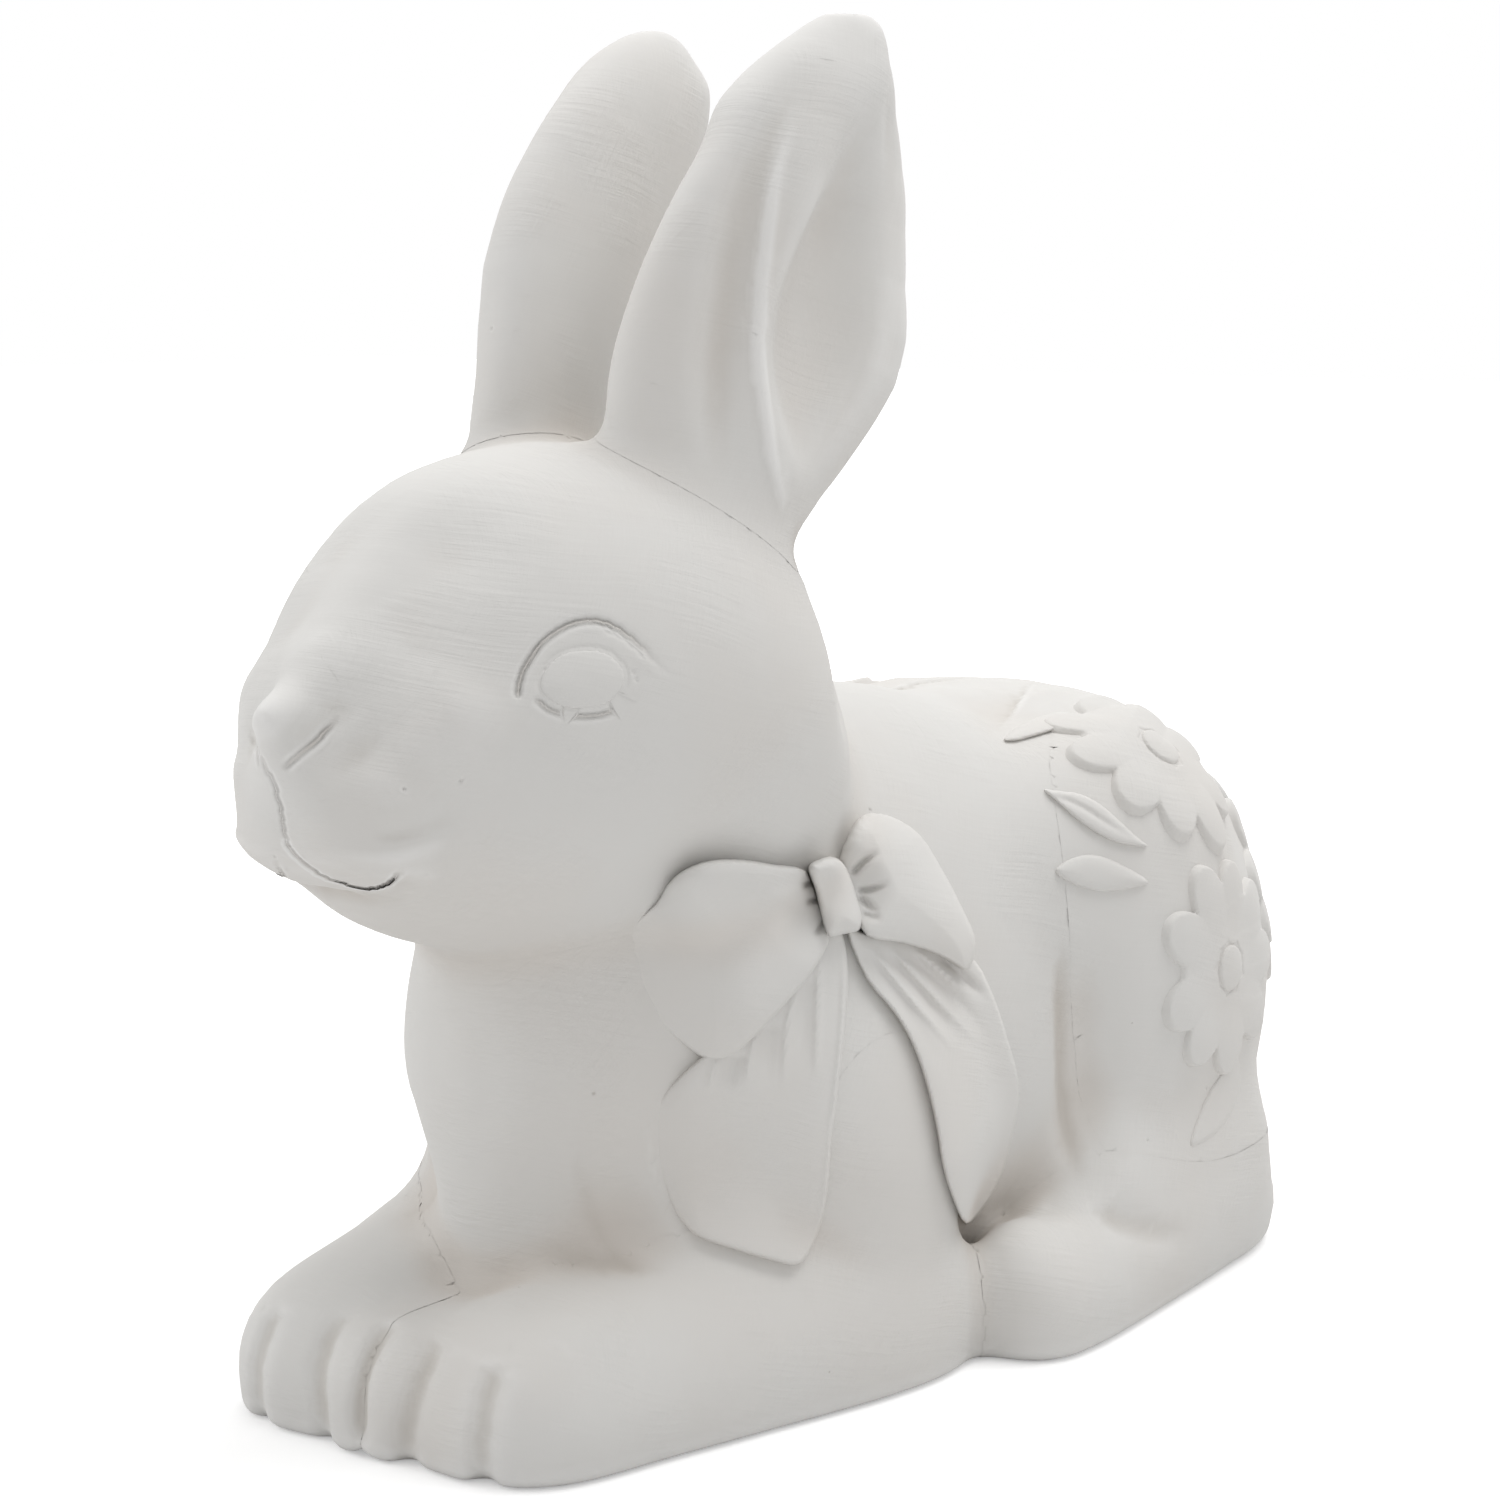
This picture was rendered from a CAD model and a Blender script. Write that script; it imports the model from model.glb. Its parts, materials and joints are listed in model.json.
# %% [markdown]
# # A slip-cast rabbit
# The real figurine is one hollow casting of white clay, fired once and left unglazed, with a bow on its
# shoulder and daisies pressed on its haunches. Every form runs softly into the next one. This lesson
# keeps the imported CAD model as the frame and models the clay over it, inside the same box.

# %% Load the frame
import json
import math
import time
import bmesh
import bpy
import numpy as np
import openvdb
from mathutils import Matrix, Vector


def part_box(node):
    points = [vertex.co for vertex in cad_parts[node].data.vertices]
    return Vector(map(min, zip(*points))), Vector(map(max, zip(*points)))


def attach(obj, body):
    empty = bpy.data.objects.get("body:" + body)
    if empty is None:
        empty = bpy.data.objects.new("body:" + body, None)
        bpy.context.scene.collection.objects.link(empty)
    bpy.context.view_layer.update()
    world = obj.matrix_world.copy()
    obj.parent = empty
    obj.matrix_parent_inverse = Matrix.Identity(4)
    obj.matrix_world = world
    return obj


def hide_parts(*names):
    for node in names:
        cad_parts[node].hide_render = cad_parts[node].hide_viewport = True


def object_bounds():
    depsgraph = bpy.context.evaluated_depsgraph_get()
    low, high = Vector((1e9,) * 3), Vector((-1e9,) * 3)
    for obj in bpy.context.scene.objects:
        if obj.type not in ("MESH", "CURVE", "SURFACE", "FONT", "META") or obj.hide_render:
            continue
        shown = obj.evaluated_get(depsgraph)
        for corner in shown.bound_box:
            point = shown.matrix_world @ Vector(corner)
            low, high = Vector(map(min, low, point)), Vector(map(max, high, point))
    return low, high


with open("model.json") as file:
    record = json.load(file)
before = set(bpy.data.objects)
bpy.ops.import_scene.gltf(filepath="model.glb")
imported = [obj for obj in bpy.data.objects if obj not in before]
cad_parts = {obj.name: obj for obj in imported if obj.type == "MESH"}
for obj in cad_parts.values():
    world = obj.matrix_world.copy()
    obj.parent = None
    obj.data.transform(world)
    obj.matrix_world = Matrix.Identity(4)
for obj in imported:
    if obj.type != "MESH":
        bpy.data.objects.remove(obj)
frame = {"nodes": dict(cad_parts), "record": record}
for starter in ("Cube", "Light", "Camera"):
    if starter in bpy.data.objects:
        bpy.data.objects.remove(bpy.data.objects[starter])
cad_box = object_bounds()
mm = 0.001
started = time.time()
print("nodes:", len(frame["nodes"]), "box in mm:", [round(v / mm, 1) for corner in cad_box for v in corner])


def report(words):
    print(f"{time.time() - started:6.1f} s  {words}")


# %% [markdown]
# ## The camera
# The camera comes first, because marks on the clay are placed by the pixels where the photograph shows
# them. It stands to the rabbit's left front, a little above it, and needs no lens shift.

# %% Camera
photo_pixels = 1500.0
focal_pixels = 3469.2
camera_turn = math.radians(38.0)
camera_rise = math.radians(8.0)
camera_distance = 420.0 * mm
camera_target = Vector((-10.9, 10.65, 64.5)) * mm

camera_data = bpy.data.cameras.new("camera")
camera_data.sensor_width = 36.0
camera_data.lens = focal_pixels / photo_pixels * camera_data.sensor_width
camera_data.clip_start = 0.01
camera = bpy.data.objects.new("camera", camera_data)
bpy.context.scene.collection.objects.link(camera)
bpy.context.scene.camera = camera
towards_camera = Vector((math.sin(camera_turn) * math.cos(camera_rise),
                         -math.cos(camera_turn) * math.cos(camera_rise), math.sin(camera_rise)))
camera.location = camera_target + camera_distance * towards_camera
camera.rotation_euler = towards_camera.to_track_quat("Z", "Y").to_euler()
bpy.context.view_layer.update()
print("camera lens in mm:", round(camera_data.lens, 2))

# %% [markdown]
# ## Clay as distances
# Soft clay joints are hard to model face by face. Here the clay is a field of distances to its surface,
# on a lattice of evenly spaced points, below zero inside. Two forms are joined by a smooth minimum, which
# leaves a fillet, and a tool mark is a smooth maximum with a tube. The skin is meshed at the end.

# %% Lattice and smooth joints
coarse_step = 0.9 * mm
margin = 6.0 * mm


class Lattice:
    """A box of evenly spaced points that starts at first * step."""

    def __init__(self, step, first, counts):
        self.step = step
        self.first = np.array(first, int)
        self.counts = tuple(int(count) for count in counts)

    def axes(self):
        values = []
        for n in range(3):
            line = (self.first[n] + np.arange(self.counts[n])) * self.step
            values.append(line.astype(np.float32).reshape([-1 if n == m else 1 for m in range(3)]))
        return values

    def finer(self):
        return Lattice(self.step / 2, self.first * 2, [2 * count - 1 for count in self.counts])

    def window(self, low, high):
        counts = np.array(self.counts)
        start = np.clip(np.floor(np.array(low) / self.step).astype(int) - self.first, 0, counts - 2)
        stop = np.clip(np.ceil(np.array(high) / self.step).astype(int) - self.first + 1, start + 2, counts)
        region = tuple(slice(a, b) for a, b in zip(start, stop))
        return region, Lattice(self.step, self.first + start, stop - start)


def blend_min(a, b, radius):
    """The union of two forms, with a fillet about as large as the radius."""
    share = np.clip(0.5 + 0.5 * (b - a) / radius, 0.0, 1.0)
    return b + (a - b) * share - radius * share * (1.0 - share)


def blend_max(a, b, radius):
    return -blend_min(-a, -b, radius)


def ramp(values, low, high):
    """0 up to low, 1 from high on, and smooth between them."""
    share = np.clip((values - low) / (high - low), 0.0, 1.0)
    return share * share * (3.0 - 2.0 * share)


def refine(values):
    """The same field on the lattice of half the step, by cubic interpolation."""
    for axis in range(3):
        line = np.moveaxis(values, axis, 0)
        count = len(line)
        padded = np.concatenate([line[:1], line, line[-1:]])
        middle = (9.0 * (line[:-1] + line[1:]) - padded[:count - 1] - padded[3:count + 2]) / 16.0
        fine = np.empty((2 * count - 1,) + line.shape[1:], np.float32)
        fine[0::2] = line
        fine[1::2] = middle
        values = np.moveaxis(fine, 0, axis)
    return np.ascontiguousarray(values)


def blur(values, spread):
    """Smooth a field with a bell curve; spread is in lattice steps."""
    reach = int(2.6 * spread) + 1
    weights = np.exp(-0.5 * (np.arange(-reach, reach + 1) / spread) ** 2)
    weights = (weights / weights.sum()).astype(np.float32)
    for axis in range(3):
        line = np.moveaxis(values, axis, 0)
        count = len(line)
        padded = np.concatenate([np.repeat(line[:1], reach, 0), line, np.repeat(line[-1:], reach, 0)])
        total = weights[0] * padded[:count]
        for n in range(1, 2 * reach + 1):
            total += weights[n] * padded[n:n + count]
        values = np.moveaxis(total, 0, axis)
    return np.ascontiguousarray(values)


# %% Meshes to distances and back
def node_mesh(node):
    data = frame["nodes"][node].data
    points = np.empty(len(data.vertices) * 3, np.float32)
    data.vertices.foreach_get("co", points)
    data.calc_loop_triangles()
    triangles = np.empty(len(data.loop_triangles) * 3, np.int32)
    data.loop_triangles.foreach_get("vertices", triangles)
    return points.reshape(-1, 3), triangles.reshape(-1, 3).astype(np.uint32), None


def distances(lattice, mesh, band):
    """Distances from a closed mesh, measured out to the band."""
    points, triangles, quads = mesh
    transform = openvdb.createLinearTransform(voxelSize=lattice.step)
    grid = openvdb.FloatGrid.createLevelSetFromPolygons(
        points, triangles=triangles, quads=quads, transform=transform, halfWidth=band / lattice.step)
    values = np.empty(lattice.counts, np.float32)
    grid.copyToArray(values, ijk=tuple(int(n) for n in lattice.first))
    return values


def skin(lattice, values, adaptivity=0.0):
    """The closed mesh where the field is zero."""
    depth = 3.0 * lattice.step
    grid = openvdb.FloatGrid(depth)
    grid.copyFromArray(np.clip(values, -depth, depth), ijk=tuple(int(n) for n in lattice.first))
    grid.transform = openvdb.createLinearTransform(voxelSize=lattice.step)
    grid.gridClass = openvdb.GridClass.LEVEL_SET
    points, triangles, quads = grid.convertToPolygons(isovalue=0.0, adaptivity=adaptivity)
    return points, triangles[:, ::-1], quads[:, ::-1]


def sample(lattice, values, points):
    """The field at any points, between the lattice points."""
    at = np.asarray(points) / lattice.step - lattice.first
    corner = np.clip(np.floor(at).astype(int), 0, np.array(lattice.counts) - 2)
    part = np.clip(at - corner, 0.0, 1.0)
    total = np.zeros(len(at))
    for i in (0, 1):
        for j in (0, 1):
            for k in (0, 1):
                weight = (np.where(i, part[:, 0], 1 - part[:, 0]) * np.where(j, part[:, 1], 1 - part[:, 1])
                          * np.where(k, part[:, 2], 1 - part[:, 2]))
                total += weight * values[corner[:, 0] + i, corner[:, 1] + j, corner[:, 2] + k]
    return total


def slope(lattice, values, points):
    """The gradient of a field."""
    change = np.empty((len(points), 3))
    for axis in range(3):
        shift = np.zeros(3)
        shift[axis] = lattice.step
        change[:, axis] = sample(lattice, values, points + shift) - sample(lattice, values, points - shift)
    return change / (2 * lattice.step)


def unit(ways):
    return ways / np.maximum(np.linalg.norm(ways, axis=1, keepdims=True), 1e-9)


def outward(lattice, values, points):
    """The direction in which the field grows fastest, which is the surface normal."""
    return unit(slope(lattice, values, points))


def add_mesh(name, mesh):
    points, triangles, quads = mesh
    faces = [face for part in (triangles, quads) if part is not None for face in part.tolist()]
    data = bpy.data.meshes.new(name)
    data.from_pydata(points.tolist(), [], faces)
    data.update()
    thing = bpy.data.objects.new(name, data)
    bpy.context.scene.collection.objects.link(thing)
    return thing


# %% [markdown]
# ## The large forms
# Torso, head, ears, limbs and tail come from the CAD nodes. Each pair gets its own joint: the haunches and
# the upper arms melt into the flanks, the paws and the neck keep a tight crease. A web of clay joins the
# paws, and a skirt fills the corner over each hind foot. The hollow is closed here, so that the skin can be
# smoothed as one, and it is opened again when the pieces are cut.

# %% Distances of the nodes
half_width = int((max(-cad_box[0].x, cad_box[1].x) + margin) / coarse_step)
first = [-half_width] + [int(math.floor((cad_box[0][n] - margin) / coarse_step)) for n in (1, 2)]
last = [half_width] + [int(math.ceil((cad_box[1][n] + margin) / coarse_step)) for n in (1, 2)]
coarse = Lattice(coarse_step, first, [b - a + 1 for a, b in zip(first, last)])
node_band = 9.0 * mm
forms = {}
for node in ("body_shell", "head_shell", "ear_left", "foreleg_left", "thigh_left", "hind_foot_left", "tail"):
    forms[node] = distances(coarse, node_mesh(node), node_band)
    if node.endswith("_left"):
        forms[node.replace("_left", "_right")] = np.ascontiguousarray(forms[node][::-1])
report(f"distances of {len(forms)} nodes on {coarse.counts}")

# %% Join the forms
x, y, z = coarse.axes()


def cushion(low, high, radius, sign=1):
    """A block with rounded edges between two corners, in millimetres. It fills a gap between two forms."""
    gaps = []
    for values, a, b in zip((x * sign, y, z), low, high):
        gaps.append(np.abs(values - (a + b) / 2 * mm) - ((b - a) / 2 - radius) * mm)
    outside = np.sqrt(sum(np.maximum(gap, 0.0) ** 2 for gap in gaps))
    return outside + np.minimum(np.maximum(np.maximum(gaps[0], gaps[1]), gaps[2]), 0.0) - radius * mm


paw_web = (-10, -69.5, -12), (10, -38, 14), 8
haunch_skirt = (14, 15, 3), (38.2, 60.5, 24), 9
arm_joint = (2.6 + 9.0 * ramp(z, 10 * mm, 26 * mm) * ramp(y, -48 * mm, -32 * mm)) * mm
haunch_joint = (3.0 + 8.0 * ramp(z, 34 * mm, 60 * mm)) * mm
clay = forms["body_shell"]
for side in ("left", "right"):
    clay = blend_min(clay, forms["thigh_" + side], haunch_joint)
    clay = blend_min(clay, forms["hind_foot_" + side], 2.6 * mm)
    clay = blend_min(clay, forms["foreleg_" + side], arm_joint)
clay = blend_min(clay, forms["tail"], 4.0 * mm)
clay = blend_min(clay, cushion(*paw_web), 3.0 * mm)
for sign in (1, -1):
    clay = blend_min(clay, cushion(*haunch_skirt, sign), 5.0 * mm)
# Smooth joins depend on their order, so the near half is copied to the far side.
clay = np.where(x > 0, clay, clay[::-1])
ears = np.minimum(forms["ear_left"], forms["ear_right"])
clay = blend_min(clay, blend_min(forms["head_shell"], ears, 4.0 * mm), 4.0 * mm)
open_clay = clay
report("joined the forms")

# %% Close the hollow for the time being
pour_hole_place = (0.0, 31.25 * mm)
pour_hole_radius = 9.0 * mm
floor_thickness = 4.5 * mm


def spread_through(space, seeds):
    """Grow the seeds step by step through open space until nothing changes."""
    filled = seeds & space
    while True:
        grown = filled.copy()
        for axis in range(3):
            before, after = np.moveaxis(filled, axis, 0), np.moveaxis(grown, axis, 0)
            after[1:] |= before[:-1]
            after[:-1] |= before[1:]
        grown &= space
        if np.array_equal(grown, filled):
            return filled
        filled = grown


air = (clay > 0) & (z > floor_thickness + coarse_step)
seeds = np.zeros(coarse.counts, bool)
for opening in frame["record"]["physics"]["openings"]:
    (low_x, low_y, low_z), (high_x, high_y, high_z) = opening["box_m"]
    seeds |= (x > low_x) & (x < high_x) & (y > low_y) & (y < high_y) & (z > low_z) & (z < high_z)
stride = max(1, int(2.7 * mm / coarse_step))
rough = spread_through(air[::stride, ::stride, ::stride], seeds[::stride, ::stride, ::stride])
for axis in range(3):
    rough = np.repeat(rough, stride, axis)
hollow = spread_through(air, seeds | rough[:air.shape[0], :air.shape[1], :air.shape[2]] & air)
from_pour_hole = np.hypot(x - pour_hole_place[0], y - pour_hole_place[1]) - pour_hole_radius
plug = (from_pour_hole < 2 * coarse_step) & (z < floor_thickness + 3 * coarse_step) & (z > -coarse_step)
clay = np.where(hollow | plug, -2.0 * mm, clay).astype(np.float32)
clay = np.maximum(clay, y - cad_box[1].y + 0.1 * mm)
report(f"hollow of {hollow.sum() * coarse_step ** 3 * 1e6:.0f} cubic centimetres closed")

# %% Even the surface out
base_edge = 1.8 * mm
clay_band = 8.0 * mm
clay = distances(coarse, skin(coarse, clay), clay_band)
sill = int(round(base_edge / coarse_step)) - coarse.first[2]
clay[:, :, :sill] = clay[:, :, sill:sill + 1]
clay = blur(clay, 1.2 * mm / coarse_step)
fine = coarse.finer()
clay = refine(clay)
report(f"fine lattice {fine.counts}, step {fine.step / mm:.2f} mm")

# %% [markdown]
# ## Marks in the clay
# The modeller pressed the mouth, the lids and the toes into the clay with a thin tool and smoothed the ears
# with a thumb. Each mark is a row of photo pixels. Rays from the camera carry it onto the skin, and the
# field is raised along it, which presses the skin in. Both sides of the rabbit get the same marks.

# %% Flat base and rays through pixels
x, y, z = fine.axes()
clay = blend_max(clay, -z + np.zeros(fine.counts, np.float32), base_edge)
to_camera = np.array(camera.matrix_world.inverted())
from_camera = np.array(camera.matrix_world)
ray_reach = 120 * mm


def ray_ways(pixels):
    """The directions, one unit deep, in which the camera sees these pixels."""
    at = (np.array(pixels, float) - photo_pixels / 2) / focal_pixels
    return np.stack([at[:, 0], -at[:, 1], -np.ones(len(at))], 1) @ from_camera[:3, :3].T


def along_rays(pixels):
    """Spots along the ray through each pixel, and the field there."""
    ways = ray_ways(pixels)
    depths = camera_distance + np.arange(-ray_reach, ray_reach, fine.step)
    points = np.array(camera.location) + ways[:, None] * depths[None, :, None]
    return points, sample(fine, clay, points.reshape(-1, 3)).reshape(len(ways), -1)


def cast(pixels):
    """The spots on the skin that these pixels of the photograph show."""
    points, values = along_rays(pixels)
    inside = values < 0
    hit = np.where(inside.any(1), inside.argmax(1), values.argmin(1))
    spots = points[np.arange(len(points)), hit]
    for turn in range(3):
        spots = spots - outward(fine, clay, spots) * sample(fine, clay, spots)[:, None]
    return spots


def shown_at(points):
    """The pixel of the photograph that shows each point."""
    local = points @ to_camera[:3, :3].T + to_camera[:3, 3]
    return photo_pixels / 2 + focal_pixels * local[:, :2] / -local[:, 2:] * (1, -1)


def curve(points, closed=False, steps=6):
    """A smooth line through the points."""
    points = np.array(points, float)
    if closed:
        padded = np.concatenate([points[-1:], points, points[:2]])
    else:
        padded = np.concatenate([2 * points[:1] - points[1:2], points, 2 * points[-1:] - points[-2:-1]])
    line = []
    for a, b, c, d in zip(padded, padded[1:], padded[2:], padded[3:]):
        for share in np.arange(steps) / steps:
            line.append(0.5 * (2 * b + (c - a) * share + (2 * a - 5 * b + 4 * c - d) * share ** 2
                               + (3 * b - a - 3 * c + d) * share ** 3))
    line.append(padded[-2])
    return np.array(line)


def nearest(points, line):
    """How far each point is from a line, and how far along the line its nearest spot is (0 to 1)."""
    gap = np.full(len(points), np.inf)
    share = np.zeros(len(points))
    for n in range(len(line) - 1):
        span = line[n + 1] - line[n]
        along = np.clip((points - line[n]) @ span / max(span @ span, 1e-18), 0.0, 1.0)
        distance = np.linalg.norm(points - line[n] - along[:, None] * span, axis=1)
        closer = distance < gap
        gap[closer] = distance[closer]
        share[closer] = (n + along[closer]) / (len(line) - 1)
    return gap, share


def press(line, depth, width, ends=0.2, power=2.0, mirrored=True):
    """Press a mark into the skin along a line. A depth below zero raises a bead."""
    depths = np.atleast_1d(depth)
    steps = np.linspace(0.0, 1.0, len(depths))
    first, final = ends if isinstance(ends, tuple) else (ends, ends)
    for sign in (1, -1) if mirrored else (1,):
        path = line * (sign, 1, 1)
        region, lattice = fine.window(path.min(0) - 2.6 * width, path.max(0) + 2.6 * width)
        part = clay[region]
        near = np.nonzero(np.abs(part) < 3 * mm + np.abs(depths).max())
        gap, share = nearest((np.stack(near, 1) + lattice.first) * lattice.step, path)
        strength = ramp(share, -0.01, first) * ramp(1 - share, -0.01, final) * np.interp(share, steps, depths)
        part[near] += (strength * np.exp(-(gap / width) ** power)).astype(np.float32)


def stroke(pixels, depth, width, ends=0.0, steps=3, mirrored=True):
    """Press a mark, in millimetres, into the skin that a row of photo pixels shows."""
    press(cast(curve(pixels, steps=steps)), depth * mm, width * mm, ends=ends, mirrored=mirrored)


def rim(pixels):
    """The spots of the outline that the rays through these pixels pass, or graze."""
    points, values = along_rays(pixels)
    rays = np.arange(len(points))
    inside = values < 0
    first_in = inside.argmax(1)
    after = np.minimum(first_in[:, None] + np.arange(values.shape[1]), values.shape[1] - 1)
    last_in = first_in + (~inside[rays[:, None], after]).argmax(1)
    middle = np.where(inside.any(1), (first_in + last_in) // 2, values.argmin(1))
    return points[rays, middle]


def on_middle(pixels):
    """The spots on the rabbit's middle plane that these pixels show."""
    ways = ray_ways(pixels)
    start = np.array(camera.location)
    return start - ways * (start[0] / ways[:, 0])[:, None]


def meet(line, width, most):
    """Move the skin until it passes through a line of known spots, by the most at the furthest."""
    press(line, np.clip(-sample(fine, clay, line), -most, most), width, ends=0.0, mirrored=False)


def thumb(centre, radius, spread, raise_by=0.0):
    """Smooth the skin round a spot, as a thumb does, and fill it a little."""
    region, lattice = fine.window(centre - radius, centre + radius)
    local_x, local_y, local_z = lattice.axes()
    gap = np.sqrt((local_x - centre[0]) ** 2 + (local_y - centre[1]) ** 2 + (local_z - centre[2]) ** 2)
    share = 1.0 - ramp(gap, 0.45 * radius, 0.95 * radius)
    part = clay[region]
    smooth = blur(part, spread / fine.step) - raise_by
    part[:] = part + share * (smooth - part)


# %% [markdown]
# A hand-made casting is never quite the smooth join of its forms. Here the outline is corrected first. Each
# row holds a spot of the photographed edge and how far the skin goes in there, in millimetres, and a value
# below zero brings it out. The push dies away over the width of the row. The top of each foreleg is pressed
# down as well, along a line that the paws on both sides of the photograph give.

# %% Outline
outline = {
    "far ear": (5.0, False, (
        (471, 430, 1.6), (474, 380, 0.8), (475, 330, -0.2), (480, 270, -0.9), (495, 209, -0.6),
        (513, 161, -0.3), (536, 118, -0.2), (562, 84, 0.0), (590, 54, 0.0), (620, 36, 0.2),
        (650, 30, 0.4), (677, 38, 0.1), (694, 58, 0.0), (709, 86, -0.8))),
    "near ear": (5.0, False, (
        (722, 95, -1.3), (740, 75, -1.2), (765, 52, -0.9), (790, 33, -0.6), (820, 16, -0.6),
        (850, 6, -1.1), (876, 20, -0.7), (889, 60, 0.7), (897, 110, 1.5), (904, 170, 1.5),
        (907, 230, 1.4), (908, 290, 0.9), (906, 345, -0.2), (895, 389, -0.6), (876, 423, -0.1),
        (849, 462, 0.6), (823, 497, 1.3), (802, 529, 1.2))),
    "nape": (6.0, True, (
        (795, 555, 1.3), (805, 582, 0.7), (817, 615, 1.1), (827, 653, 2.0), (833, 680, 2.6))),
    "back": (13.0, True, (
        (861, 691, 2.6), (890, 684, 2.2), (925, 679, 1.5), (960, 676, 1.3), (1000, 676, 0.7),
        (1035, 678, 0.2), (1070, 684, -0.6), (1105, 694, -0.3), (1133, 707, 1.4), (1160, 729, 3.0),
        (1186, 759, 3.7), (1211, 794, 3.9), (1233, 829, 3.6), (1252, 871, 2.7), (1262, 912, 1.8),
        (1268, 955, 1.0), (1268, 990, 0.5), (1264, 1030, 0.1), (1262, 1070, 0.3), (1258, 1110, 0.8),
        (1259, 1140, 0.8), (1267, 1170, 0.6), (1273, 1205, 0.2))),
}
for part, (width, both, marks) in outline.items():
    marks = np.array(marks)
    line = rim(marks[:, :2])
    for turn in range(2):
        line[1:-1] = 0.25 * line[:-2] + 0.5 * line[1:-1] + 0.25 * line[2:]
    press(line, marks[:, 2] * mm, width * mm, ends=0.0, mirrored=both)
leg_top = np.array([(13, -67, 16), (13.5, -61, 19), (14.5, -54, 21), (16, -47, 24), (18, -41, 26)]) * mm
leg_top_depths = np.array([1.8, 3.4, 4.2, 4.6, 1.5]) * mm
press(leg_top, leg_top_depths, 7.5 * mm, ends=0.0)
report("outline fitted")

# %% Ears
ear_valley = ((826, 52), (800, 85), (776, 122), (757, 165), (744, 210), (734, 260), (728, 310), (722, 360),
              (719, 410), (722, 455), (733, 495))
ear_ridge = ((800, 100), (786, 140), (774, 187), (767, 234), (760, 290), (757, 342), (761, 396), (769, 450),
             (779, 497), (789, 535))
ear_dish = ((852, 70), (850, 120), (846, 180), (842, 240), (836, 300), (828, 360), (818, 415), (806, 465))
ear_back = ((600, 110), (578, 170), (560, 235), (552, 300), (548, 360), (550, 420))
ear_rim = ((884, 60), (894, 130), (900, 200), (901, 280), (896, 345), (878, 395))
ear_tip = cast([(858, 112)])[0]
for sign in (1, -1):
    thumb(ear_tip * (sign, 1, 1), 15 * mm, 2.0 * mm, 0.2 * mm)
stroke(ear_rim, 0.7, 2.0, ends=0.3, steps=2)
stroke(ear_dish, 1.3, 5.0, ends=0.45, steps=2)
stroke(ear_valley, 1.7, 2.5, ends=0.35)
stroke(ear_ridge, -0.75, 0.8, ends=0.3, steps=6)
stroke(ear_back, 0.9, 4.5, ends=0.45, steps=2)
report("ears dished")

# %% [markdown]
# The muzzle is first smoothed like clay under a thumb, and then the brow, the nose, the lip groove and the
# cheeks are pressed or raised. The lip groove lies on the rabbit's middle plane, so its place is known there.
# Then nothing is left outside the box of the CAD model.

# %% Brow, nose and cheeks
brow = ((322, 545), (300, 580), (280, 620), (268, 655))
nose_tip = ((248, 700), (238, 725), (232, 755))
philtrum = ((256, 735), (262, 747), (268, 760), (275, 780), (280, 800), (284, 822), (288, 845))
chin_middle = ((291, 856), (297, 868))
chin = ((228, 815), (238, 850), (256, 872))
cheek = ((505, 722), (530, 724), (555, 730))
nose_side = ((304, 732), (316, 722), (328, 710))
nose_front = ((268, 748), (284, 742), (300, 732))
nose_bridge = ((272, 682), (292, 668), (318, 662), (342, 668))
pad_dent = ((345, 732), (368, 762), (388, 798), (400, 832), (404, 858))
near_pad = ((318, 800), (330, 825), (345, 845))
below_mouth = ((302, 884), (330, 899), (365, 905), (400, 895), (420, 872))
snout = cast([(275, 735)])[0] * (0, 1, 1)
thumb(snout, 20 * mm, 1.7 * mm, 0.3 * mm)
stroke(brow, 2.5, 7.5)
stroke(nose_tip, -1.6, 4.0)
stroke(chin, 1.6, 4.5)
meet(on_middle(curve(philtrum + chin_middle, steps=2)), 4.0 * mm, 2.4 * mm)
stroke(cheek, -0.5, 5.0)
stroke(nose_side, 0.35, 2.0)
stroke(nose_bridge, -0.9, 4.0)
stroke(nose_front, 0.3, 3.0)
stroke(near_pad, -1.0, 5.0)
stroke(pad_dent, 1.2, 4.2, ends=0.2)
stroke(below_mouth, 0.7, 2.4, ends=0.2)
box_gap = 0.1 * mm
for low, high, values in zip(cad_box[0], cad_box[1], (x, y, z)):
    if values is not z:
        clay = blend_max(clay, low + box_gap - values, 0.3 * mm)
    clay = blend_max(clay, values - high + box_gap, 0.3 * mm)
report("face modelled")

# %% [markdown]
# The lids, the mouth and the pits are thinner than the lattice. They are only written down here, as rows of
# spots, and are cut into the finished mesh, whose faces are divided along them first.

# %% Thin marks
thin_marks = []


def scribe(line, depth, width, ends=(0.2, 0.2), burr=0.1, mirrored=True):
    """Note a thin mark, in millimetres. The burr is how far its sides stand out, as a share of its depth."""
    for sign in (1, -1) if mirrored else (1,):
        thin_marks.append((line * (sign, 1, 1), depth * mm, width * mm, ends, burr))


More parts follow.
